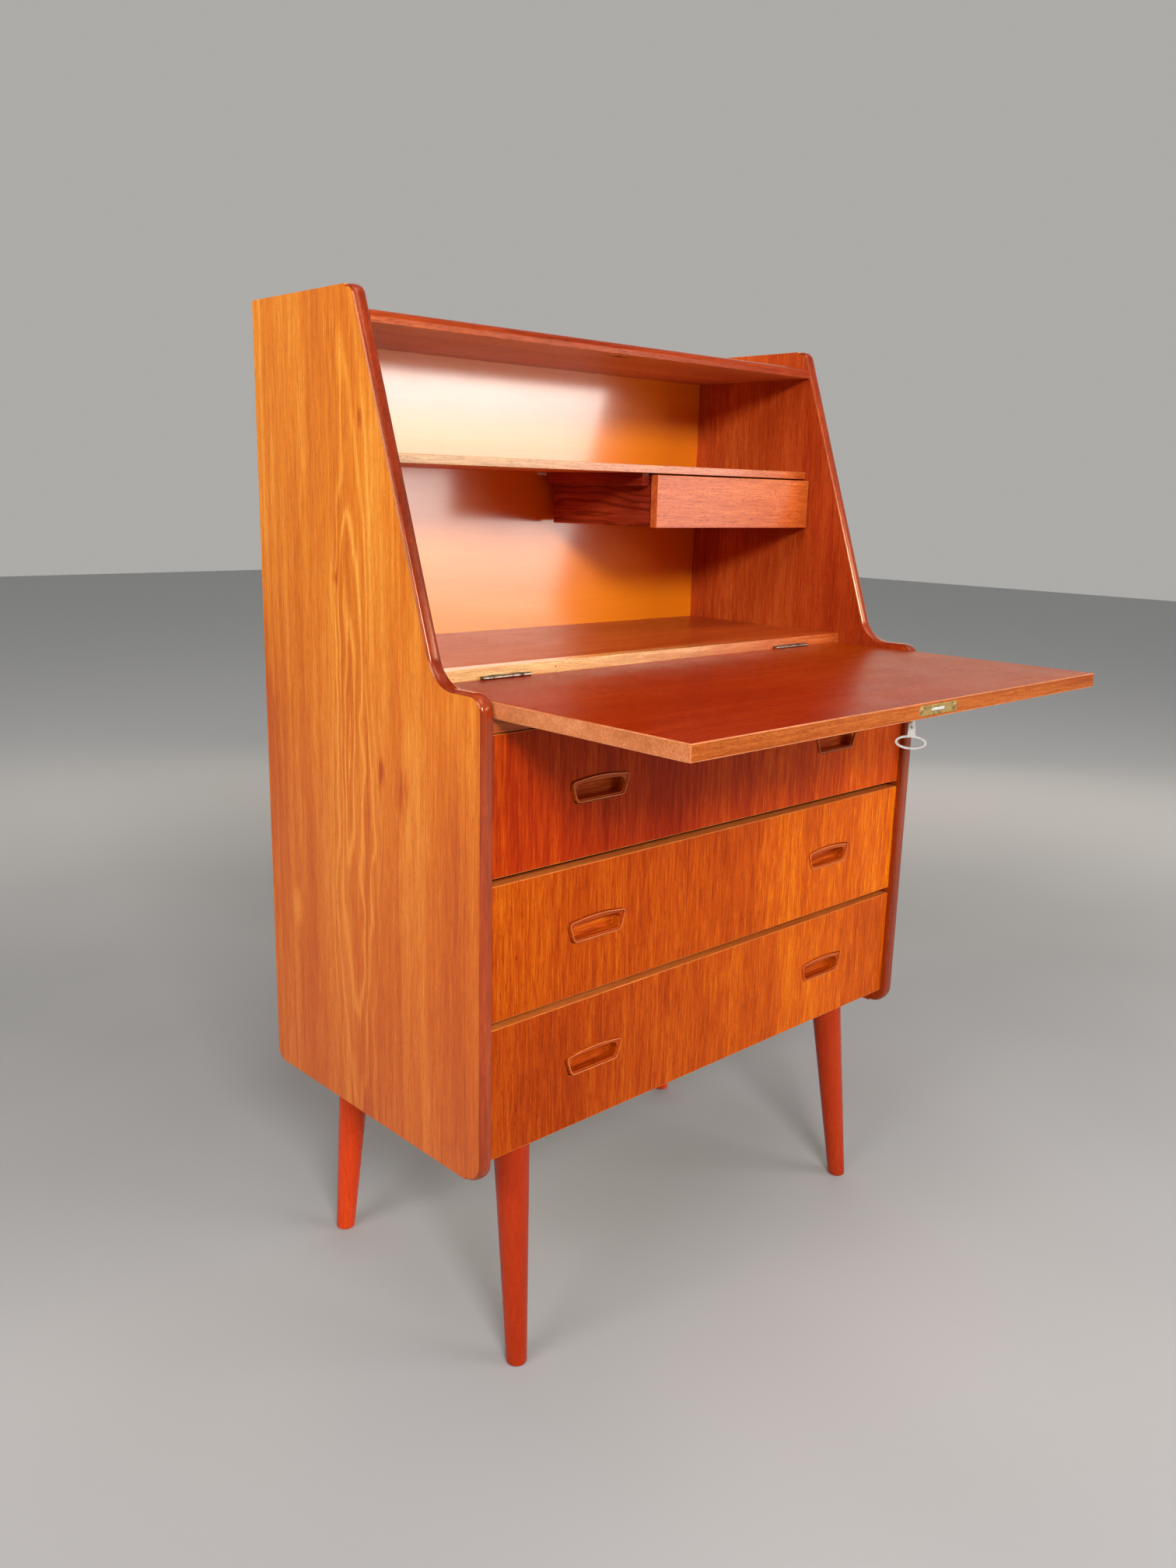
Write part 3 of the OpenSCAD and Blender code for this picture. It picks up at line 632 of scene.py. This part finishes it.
# Each drawer front's material name, tones, seed, heart of its figure and fade of painted light.
FRONTS = {
    "top_drawer": ("top_front_shaded_veneer", TOP_FRONT_SHADED_TONES, 24, (60, 1000), TOP_FRONT_PAINTED_LIGHT),
    "middle_drawer": ("front_veneer", FRONT_TONES, 14, (60, 1000), FRONT_PAINTED_LIGHT),
    "bottom_drawer": ("low_front_shaded_veneer", LOW_FRONT_SHADED_TONES, 26, (-90, 900), LOW_FRONT_PAINTED_LIGHT),
}
FRONT_VENEER = {
    drawer: wood(name, tones, seed=seed, heart_mm=heart_mm, fade=fade, **FRONT_LOOK)
    for drawer, (name, tones, seed, heart_mm, fade) in FRONTS.items()
}
EDGE_X = wood("solid_edge", EDGE_TONES, X, Y, 7, gloss=0.35)
RIM_LIT_X = wood("drawer_rim_painted_light", RIM_LIT_TONES, X, Y, 23, gloss=0.4, specular=0.3)
PULL_WOOD = wood("pull_teak", PULL_TONES, X, Z, 15, streak=0.8, gloss=0.2, specular=0.3)
# Painted highlight: the crests of the pulls' beads are paler than the pulls.
CREST_LOOK = dict(streak=0.8, gloss=0.16, specular=0.9)
PULL_CREST_HIGHLIGHT = wood("pull_crest_painted_highlight", FLAP_EDGE_TONES, X, Z, 27, **CREST_LOOK)
PULL_POCKET = wood("pull_pocket", PULL_TONES, X, Z, 28, streak=1.2, gloss=0.4, specular=0.1)
FLAP_LOOK = dict(streak=0.7, bands=0.8, gloss=0.26, specular=0.03, relief=0.015)
FLAP_VENEER = wood("flap_veneer", FLAP_TONES, X, Y, 16, fade=FLAP_PAINTED_SHEEN, **FLAP_LOOK)
EDGING_LOOK = dict(pores=0.7, pore_mm=5, gloss=0.4)
FLAP_EDGE = wood("flap_edging", FLAP_EDGE_TONES, X, Z, 17, specular=0.3, **EDGING_LOOK)
FLAP_FRONT_SHADED_EDGE = wood(
    "flap_front_shaded_edge", FLAP_FRONT_SHADED_TONES, X, Z, 25, specular=0.15, **EDGING_LOOK
)
SMALL_LOOK = dict(pores=0.8, pore_mm=6, gloss=0.32, coat=0.6, glare=WHITE_GLARE)
SMALL_FRONT = wood("small_front", SMALL_TONES, X, Z, 18, **SMALL_LOOK)
BACK_VENEER = wood(
    "back_veneer",
    BACK_TONES,
    X,
    Z,
    19,
    streak=0.25,
    bands=0.4,
    pores=0.0,
    gloss=0.24,
    coat=1.0,
    coat_ior=1.95,
    specular=0.8,
    glare=WHITE_GLARE,
    relief=0.03,
)
LEG_LOOK = dict(streak=0.45, bands=0.5, pores=0.25, gloss=0.28, specular=0.3)
LEG = wood("leg_teak", LEG_TONES, Z, X, 8, fade=LEG_PAINTED_LIGHT, **LEG_LOOK)
DARK_FIGURE = dict(arches=0.5, arch_mm=9, heart_mm=(900, 200))
DARK_Y = wood("dark_side", DARK_TONES, Y, Z, 9, fade=DARK_PAINTED_SHADE, **DARK_FIGURE)
DARK_X = wood("dark_rail", DARK_TONES, X, Z, 10, gloss=0.34)
ARRIS = wood("worn_arris", FLAP_EDGE_TONES, X, Z, 20, gloss=0.35)

STEEL = metal("dull_steel", srgb(190, 188, 184), NICKEL_DULL, 0.34, 0.5, 1)
KEY_METAL = metal("nickel", srgb(246, 246, 243), NICKEL_DULL, 0.3, 0.35, 2)
PLATE_BRASS = metal("plate_brass", srgb(196, 168, 102), srgb(98, 80, 42), 0.3, 0.7, 6)
# The hinges' heavy dark tarnish is partly their own dull metal and partly painted shade of their
# place under the lip.
SHADED_HINGE_METAL = metal("dull_shaded_hinge", srgb(168, 150, 134), srgb(52, 40, 34), 0.26, 0.8, 4)
OLD_BRASS = metal("old_brass", srgb(198, 160, 112), srgb(92, 66, 44), 0.32, 0.7, 3)


# ---------------------------------------------------------------- the carcass

PANEL_TOP_DEPTH = 194 * MM
SHOULDER_HEIGHT = 746 * MM
FRONT_SLOPE = math.radians(19.1)
TOP_ROUND = 13 * MM
KNEE_ROUND = 38 * MM
SHOULDER_ROUND = 19 * MM
TOE_ROUND = 24 * MM
LIP_T = 3 * MM
LIP_SUNK = 0.15 * MM
LIP_STEPS = 12
LIP_FLATNESS = 2.3
CONTOUR_STEPS = 14
CONTOUR_TOE = 1 * MM


def contour():
    """A side panel's front contour as (y, z) points, from its top edge to its bottom edge."""
    low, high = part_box("left_edge_lipping")
    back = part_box("left_side_panel")[1].y
    top_y = back - PANEL_TOP_DEPTH
    knee_y = top_y - (high.z - SHOULDER_HEIGHT) * math.tan(FRONT_SLOPE)
    corners = [
        (back, low.z, TOP_ROUND),
        (back, high.z, TOP_ROUND),
        (top_y, high.z, TOP_ROUND),
        (knee_y, SHOULDER_HEIGHT, KNEE_ROUND),
        (low.y, SHOULDER_HEIGHT, SHOULDER_ROUND),
        (low.y, low.z, TOE_ROUND),
    ]
    on_the_back = 2 * (CONTOUR_STEPS + 1)
    points = rounded(corners, CONTOUR_STEPS)[on_the_back:]
    start = Vector((high.y, high.z))
    end = Vector((points[-1].x + CONTOUR_TOE, low.z))
    return [start, *points, end]


def crowned_lipping(side):
    """The solid strip along a side panel's front edge, crowned over its width."""
    node = side + "_edge_lipping"
    low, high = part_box(node)
    path = contour()
    loops = []
    for i, point in enumerate(path):
        before, after = path[max(i - 1, 0)], path[min(i + 1, len(path) - 1)]
        along = (after - before).normalized()
        out = Vector((along.y, -along.x))
        loop = []
        for k in range(LIP_STEPS + 1):
            u = 2 * k / LIP_STEPS - 1
            crown = (1 - abs(u) ** LIP_FLATNESS) ** (1 / LIP_FLATNESS)
            spot = point - out * LIP_T * (1 - crown)
            loop.append((low.x + (high.x - low.x) * k / LIP_STEPS, spot.x, spot.y))
        for x in (high.x, low.x):
            spot = point - out * (LIP_T + LIP_SUNK)
            loop.append((x, spot.x, spot.y))
        loops.append(loop)
    piece = loft(node + "_visual", loops)
    smooth(piece)
    return stand_in(piece, [node], [LIPPING])


def on_box_edge(node, reach=0.3 * MM):
    """A test of whether a point lies on an edge of a node's box."""
    low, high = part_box(node)

    def test(point):
        near = sum(
            min(abs(point[axis] - low[axis]), abs(point[axis] - high[axis])) < reach
            for axis in (X, Y, Z)
        )
        return near >= 2

    return test


def carcass():
    for side, inward in (("left", 1), ("right", -1)):
        crowned_lipping(side)
        board(side + "_side_panel", SIDE_VENEER, 0.25, {(X, inward): INNER_SHADED_VENEER}, joint_mm=0.25)
    # The undersides take the paler veneer of painted light.
    painted_light_below = {(Z, -1): UNDER_LIT_VENEER}
    board("top_board", TOP_VENEER, 0.12, painted_light_below)
    board("shelf", TOP_VENEER, 0.12, {(Z, -1): UNDER_LIT_VENEER, (Z, 1): DESK_VENEER})
    board("desk_board", DESK_VENEER, 0.12)
    board("back_panel", BACK_VENEER, 0.12)
    board("top_board_lipping", LIPPING_X, 0.12, painted_light_below)
    board("shelf_lipping", SHELF_BEECH, 0.6, at_edge=on_box_edge("shelf_lipping"))
    board("desk_board_lipping", DESK_BEECH, 0.5, at_edge=on_box_edge("desk_board_lipping"))
    board("front_rail", EDGE_X, 0.4)
    board("dust_board", PLY, 0.12)
    board("bottom_board", PLY, 0.3)
    for name in ("left_drawer_runners", "right_drawer_runners"):
        board(name, PALE_Y, 0.5)
    board("small_drawer_runners", DARK_Y, 0.5)


# ---------------------------------------------------------------- drawers

# The pulls, in mm: corners are (x, z, radius) from the pull's middle.
PULL_OUTLINE = [(-34.5, -13, 7), (34.5, -13, 7), (43, 11.5, 5.5), (0, 16.5, 200), (-43, 11.5, 5.5)]
POCKET_OUTLINE = [(-32, -9, 6), (32, -9, 6), (37, 7, 7), (0, 8.5, 200), (-37, 7, 7)]
PULL_LENGTH = 86
PULL_STEPS = 10
COVE_STEPS = 4
BEAD_W = 3.0
BEAD_H = 1.8
BEAD_SWELL = 0.8
GROOVE_W = 0.8
GROOVE_DEPTH = 1.5
POCKET_DEPTH = 12.0
POCKET_ARRIS = 0.7
POCKET_COVE = 2.2
CREST_SHARE = 0.93


def pull_loops(back):
    """Loops of (outline points, height above the drawer front) for a pull, in mm.

    They run from the pull's back, at -back, over its bead and into its pocket.
    """
    outline, pocket = (rounded(corners, PULL_STEPS) for corners in (PULL_OUTLINE, POCKET_OUTLINE))
    half_turn = [k * math.pi / PULL_STEPS for k in range(PULL_STEPS + 1)]
    quarter = [k * math.pi / 2 / COVE_STEPS for k in range(COVE_STEPS + 1)]
    loops = [(outline, -back), (outline, -GROOVE_DEPTH), (grown(outline, -GROOVE_W), -GROOVE_DEPTH)]
    for a in half_turn:
        inset = GROOVE_W + (BEAD_W - GROOVE_W) / 2 * (1 - math.cos(a))
        loops.append((grown(outline, -inset), BEAD_H * math.sin(a) ** BEAD_SWELL))
    loops += [
        (grown(pocket, POCKET_ARRIS * (1 - math.sin(a))), -POCKET_ARRIS * (1 - math.cos(a)))
        for a in quarter
    ]
    loops += [
        (
            grown(pocket, -POCKET_COVE * (1 - math.cos(a))),
            -POCKET_DEPTH + POCKET_COVE * (1 - math.sin(a)),
        )
        for a in quarter
    ]
    return loops


def pulls(drawer):
    """A drawer's two carved pulls: a painted highlight on the bead's crest, a duller pocket."""
    node = drawer + "_pulls"
    low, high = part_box(node)
    front_low, front_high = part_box(drawer + "_front")
    front = front_low.y
    reach = (high.x - low.x - PULL_LENGTH * MM) / 2
    middle_z = (front_low.z + front_high.z) / 2
    pieces = []
    for x in (-reach, reach):
        loops = [
            [(x + p.x * MM, front - height * MM, middle_z + p.y * MM) for p in points]
            for points, height in pull_loops((high.y - front) / MM)
        ]
        pieces.append(loft("pull", loops))
    piece = joined(node + "_visual", pieces)
    smooth(piece)
    piece = stand_in(piece, [node], [PULL_WOOD, PULL_CREST_HIGHLIGHT, PULL_POCKET])
    for face in piece.data.polygons:
        height = (front - face.center.y) / MM
        # The top of the bead takes the painted highlight.
        if height > CREST_SHARE * BEAD_H:
            face.material_index = 1
        elif height < -POCKET_ARRIS:
            face.material_index = 2


def wide_drawer(drawer):
    # The top edges and arrises take the paler tan of painted light.
    solid_edges = {(Z, 1): RIM_LIT_X, (Z, -1): EDGE_X, (X, 1): EDGE_X, (X, -1): EDGE_X}
    node = drawer + "_front"
    board(node, FRONT_VENEER[drawer], 0.8, solid_edges, arris=RIM_LIT_X, at_edge=on_box_edge(node))
    pulls(drawer)
    for part in ("left_side", "right_side"):
        board(f"{drawer}_{part}", PALE_Y, 0.6)
    board(drawer + "_back", PALE_X, 0.5)
    board(drawer + "_base", PLY, 0.2)


def small_drawer():
    board("small_drawer_front", SMALL_FRONT, 0.6, {(X, -1): EDGE_X, (X, 1): EDGE_X})
    for part in ("left_side", "right_side"):
        board("small_drawer_" + part, DARK_Y, 0.5)
    board("small_drawer_back", DARK_X, 0.5)
    board("small_drawer_base", PLY, 0.2)


# ---------------------------------------------------------------- legs

LEG_FOOT_RADIUS = 11.5 * MM
LEG_TOP_RADIUS = 20 * MM
LEG_HEEL = 2.5 * MM
HEEL_STEPS = 5
LEG_STUD_RADIUS = 4 * MM
LEG_RINGS = 12
LEG_SIDES = 48


def leg(name):
    """A tapering turned leg that leans outwards, with a softly rounded foot."""
    foot = FEET[name.replace("_leg", "_foot")]
    low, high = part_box(name)
    tip = [v.co for v in NODES[name].data.vertices if v.co.z > high.z - 0.1 * MM]
    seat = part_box("leg_plates")[0].z
    top = Vector((sum(v.x for v in tip) / len(tip), sum(v.y for v in tip) / len(tip), seat))
    profile = [(0.0, LEG_FOOT_RADIUS - LEG_HEEL)]
    for k in range(HEEL_STEPS + 1):
        a = math.pi * k / (2 * HEEL_STEPS)
        radius = LEG_FOOT_RADIUS - LEG_HEEL * (1 - math.sin(a))
        profile.append((LEG_HEEL * (1 - math.cos(a)), radius))
    for k in range(1, LEG_RINGS + 1):
        radius = LEG_FOOT_RADIUS + (LEG_TOP_RADIUS - LEG_FOOT_RADIUS) * k / LEG_RINGS
        profile.append((seat * k / LEG_RINGS, radius))
    profile += [(seat, LEG_STUD_RADIUS), (high.z, LEG_STUD_RADIUS)]
    turns = [2 * math.pi * k / LEG_SIDES for k in range(LEG_SIDES)]
    loops = []
    for z, radius in profile:
        centre = foot.lerp(top, min(z / seat, 1.0))
        loops.append(
            [(centre.x + radius * math.cos(a), centre.y + radius * math.sin(a), z) for a in turns]
        )
    piece = loft(name + "_visual", loops)
    smooth(piece)
    return stand_in(piece, [name], [LEG])


# ---------------------------------------------------------------- flap, hinges, lock and key


def flap():
    board("flap_panel", FLAP_VENEER, 0.1)
    # The edging's front face takes the darker copy, as painted shade.
    board(
        "flap_edging",
        FLAP_EDGE,
        1.1,
        {(Z, 1): FLAP_VENEER, (Z, -1): FLAP_VENEER, (Y, -1): FLAP_FRONT_SHADED_EDGE},
        arris=ARRIS,
        at_edge=on_box_edge("flap_edging"),
        joint_mm=0.08,
    )


def fitting(node, material, radius_mm):
    """A metal CAD node with softened edges."""
    return stand_in(softened(node, radius_mm), [node], [material])


SLOT_HALF = (4 * MM, 0.4 * MM, 0.6 * MM)
SLOT_ARRIS_MM = 0.15
HEAD_SIDES = 8


def islands(mesh):
    """Lists of the vertices of each separate part of a mesh."""
    seen = set()
    for start in mesh.verts:
        if start in seen:
            continue
        island, queue = [], [start]
        seen.add(start)
        while queue:
            vert = queue.pop()
            island.append(vert)
            for edge in vert.link_edges:
                other = edge.other_vert(vert)
                if other not in seen:
                    seen.add(other)
                    queue.append(other)
        yield island


def head_size(face):
    """The area of a many-sided flat face, which on a screw is largest on the head."""
    return face.calc_area() if len(face.verts) > HEAD_SIDES else 0.0


def slot_cutter(face, turn):
    """A bar across a screw's head, turned about the screw's own axis."""
    facing = face.normal.to_track_quat("Z", "X").to_matrix().to_4x4()
    place = Matrix.Translation(face.calc_center_median()) @ facing
    place @= Matrix.Rotation(turn, 4, "Z")
    half_x, half_y, half_z = SLOT_HALF
    ring = [(-half_x, -half_y), (half_x, -half_y), (half_x, half_y), (-half_x, half_y)]
    loops = [[place @ Vector((x, y, z)) for x, y in ring] for z in (-half_z, half_z)]
    return loft("slot", loops)


def slotted(node, material):
    """Screws with a straight slot in each head."""
    piece = softened(node, SLOT_ARRIS_MM)
    rng = random.Random(node)
    mesh = bmesh.new()
    mesh.from_mesh(piece.data)
    heads = [
        max((face for vert in island for face in vert.link_faces), key=head_size)
        for island in islands(mesh)
    ]
    cutters = [slot_cutter(head, rng.uniform(0, math.pi)) for head in heads]
    mesh.free()
    cutter = joined("slots", cutters)
    cut = piece.modifiers.new("slots", "BOOLEAN")
    cut.object = cutter
    cut.operation = "DIFFERENCE"
    cut.solver = "EXACT"
    apply_modifiers(piece)
    bpy.data.objects.remove(cutter)
    return stand_in(piece, [node], [material])


def hardware():
    for node in ("hinge_fixed_leaves", "hinge_moving_leaves", "hinge_pins"):
        fitting(node, SHADED_HINGE_METAL, 0.25)
    fitting("lock_bolt", KEY_METAL, 0.25)
    fitting("strike_plate", OLD_BRASS, 0.25)
    fitting("lock_plate", PLATE_BRASS, 0.35)
    fitting("leg_plates", STEEL, 0.4)
    fitting("lock_case", STEEL, 0.3)
    for node in ("carcass_screws", "flap_screws"):
        slotted(node, OLD_BRASS)
    for node in ("back_panel_screws", "leg_plate_screws"):
        slotted(node, STEEL)
    fitting("key", KEY_METAL, 0.7)


# ---------------------------------------------------------------- stage, light and camera


FLOOR_REACH = 12.0
FLOOR_CLOUD_MM = 900
FLOOR_TONES = (srgb(160, 164, 170), srgb(172, 176, 181))
FLOOR_STOPS = (0.3, 0.7)
FLOOR_FAR_TONE = srgb(238, 241, 245)
FLOOR_FADING = (1.2, 3.2)
FLOOR_ROUGHNESS = 0.75


def floor():
    """A plain pale floor, which gets paler away from the desk."""
    s = Shader("pale_floor")
    cloud = s.noise(s.stretched((FLOOR_CLOUD_MM,) * 3), 2.0)
    colour = s.ramp(cloud, list(zip(FLOOR_STOPS, FLOOR_TONES)))
    away = s.add("ShaderNodeVectorMath", {0: s.place}, operation="LENGTH").outputs["Value"]
    colour = s.mix(s.between(away, *FLOOR_FADING), colour, FLOOR_FAR_TONE)
    material = s.finish(Base_Color=colour, Roughness=FLOOR_ROUGHNESS)
    corners = [
        (x * FLOOR_REACH, y * FLOOR_REACH, 0) for x, y in ((-1, -1), (1, -1), (1, 1), (-1, 1))
    ]
    piece = mesh_object("floor", corners, [(0, 1, 2, 3)])
    piece.data.materials.append(material)
    piece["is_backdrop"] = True


def softbox(name, place, target, size, power, colour):
    """A rectangular light at place that faces target and doesn't show to the camera."""
    data = bpy.data.lights.new(name, "AREA")
    data.shape = "RECTANGLE"
    data.size, data.size_y = size
    data.energy = power
    data.color = colour[:3]
    lamp = bpy.data.objects.new(name, data)
    bpy.context.scene.collection.objects.link(lamp)
    lamp.visible_camera = False
    lamp.location = place
    lamp.rotation_euler = (Vector(target) - Vector(place)).to_track_quat("-Z", "Y").to_euler()


# The world is bright on the side of the backdrop, and dim behind the camera.
BACKDROP_SIDE = (0.69, 0.72, 0.0)
WORLD_COLOUR = srgb(226, 224, 219)
WORLD_STRENGTH = {"From Min": -0.1, "From Max": 0.7, "To Min": 0.15, "To Max": 0.55}
WARM_LIGHT = srgb(255, 246, 236)
BACKDROP_LIGHT = srgb(255, 224, 184)

# Each light's place, the point it faces, its width and height, its watts and its colour.
LIGHTS = {
    "key": ((-1.6, -2.55, 2.05), (0, 0, 0.75), (0.95, 0.5), 90, WARM_LIGHT),
    "window_head": ((1.9, -2.6, 1.74), (0, 0.3, 1.0), (1.7, 1.02), 43, WARM_LIGHT),
    "window_foot": ((2.02, -2.6, 0.87), (0, 0.3, 0.9), (1.95, 0.7), 13, WARM_LIGHT),
    "ceiling": ((-0.3, -0.9, 3.0), (0, 0, 0.6), (2.0, 1.6), 26, WARM_LIGHT),
    "left_fill": ((-2.8, -0.2, 2.1), (0, 0, 0.95), (1.6, 1.2), 44, WARM_LIGHT),
    "backdrop": ((2.0, 1.8, 1.5), (0.2, -0.1, 0.74), (3.0, 2.0), 10, BACKDROP_LIGHT),
}


def studio_world():
    world = bpy.data.worlds.new("studio")
    world.use_nodes = True
    tree = world.node_tree
    background = tree.nodes["Background"]
    background.inputs["Color"].default_value = WORLD_COLOUR
    away = tree.nodes.new("ShaderNodeVectorMath")
    away.operation = "DOT_PRODUCT"
    away.inputs[1].default_value = BACKDROP_SIDE
    tree.links.new(tree.nodes.new("ShaderNodeTexCoord").outputs["Generated"], away.inputs[0])
    strength = tree.nodes.new("ShaderNodeMapRange")
    strength.interpolation_type = "SMOOTHSTEP"
    for name, value in WORLD_STRENGTH.items():
        strength.inputs[name].default_value = value
    tree.links.new(away.outputs["Value"], strength.inputs["Value"])
    tree.links.new(strength.outputs["Result"], background.inputs["Strength"])
    bpy.context.scene.world = world


CAMERA_PLACE = Vector((-1.05977, -0.95326, 0.92747))
CAMERA_YAW = math.radians(-43.51)
CAMERA_PITCH = math.radians(-13.19)
CAMERA_ROLL = math.radians(1.35)
CAMERA_LENS = 28.417
SENSOR_WIDTH = 36.0


def camera():
    """The camera, at the place and angles that were fitted to the photograph."""
    data = bpy.data.cameras.new("camera")
    data.sensor_width = SENSOR_WIDTH
    data.lens = CAMERA_LENS
    eye = bpy.data.objects.new("camera", data)
    bpy.context.scene.collection.objects.link(eye)
    level = math.cos(CAMERA_PITCH)
    forward = (-math.sin(CAMERA_YAW) * level, math.cos(CAMERA_YAW) * level)
    ahead = Vector((*forward, math.sin(CAMERA_PITCH)))
    right = ahead.cross(Vector((0, 0, 1))).normalized()
    up = right.cross(ahead)
    rolled_right = right * math.cos(CAMERA_ROLL) + up * math.sin(CAMERA_ROLL)
    rolled_up = up * math.cos(CAMERA_ROLL) - right * math.sin(CAMERA_ROLL)
    turn = Matrix((rolled_right, rolled_up, -ahead)).transposed()
    eye.matrix_world = Matrix.Translation(CAMERA_PLACE) @ turn.to_4x4()
    bpy.context.scene.camera = eye


def write_size():
    """The CAD box and the visual model's box as plain lists, so that the two can be compared."""
    boxes = {"cad": CAD_BOX, "visual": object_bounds()}
    {name: [list(low), list(high)] for name, (low, high) in boxes.items()}


carcass()
for name in DRAWERS:
    wide_drawer(name)
small_drawer()
for name in LEGS:
    leg(name)
flap()
hardware()
floor()
studio_world()
for name, light in LIGHTS.items():
    softbox(name, *light)
camera()
bpy.context.scene.view_settings.view_transform = "Standard"
write_size()
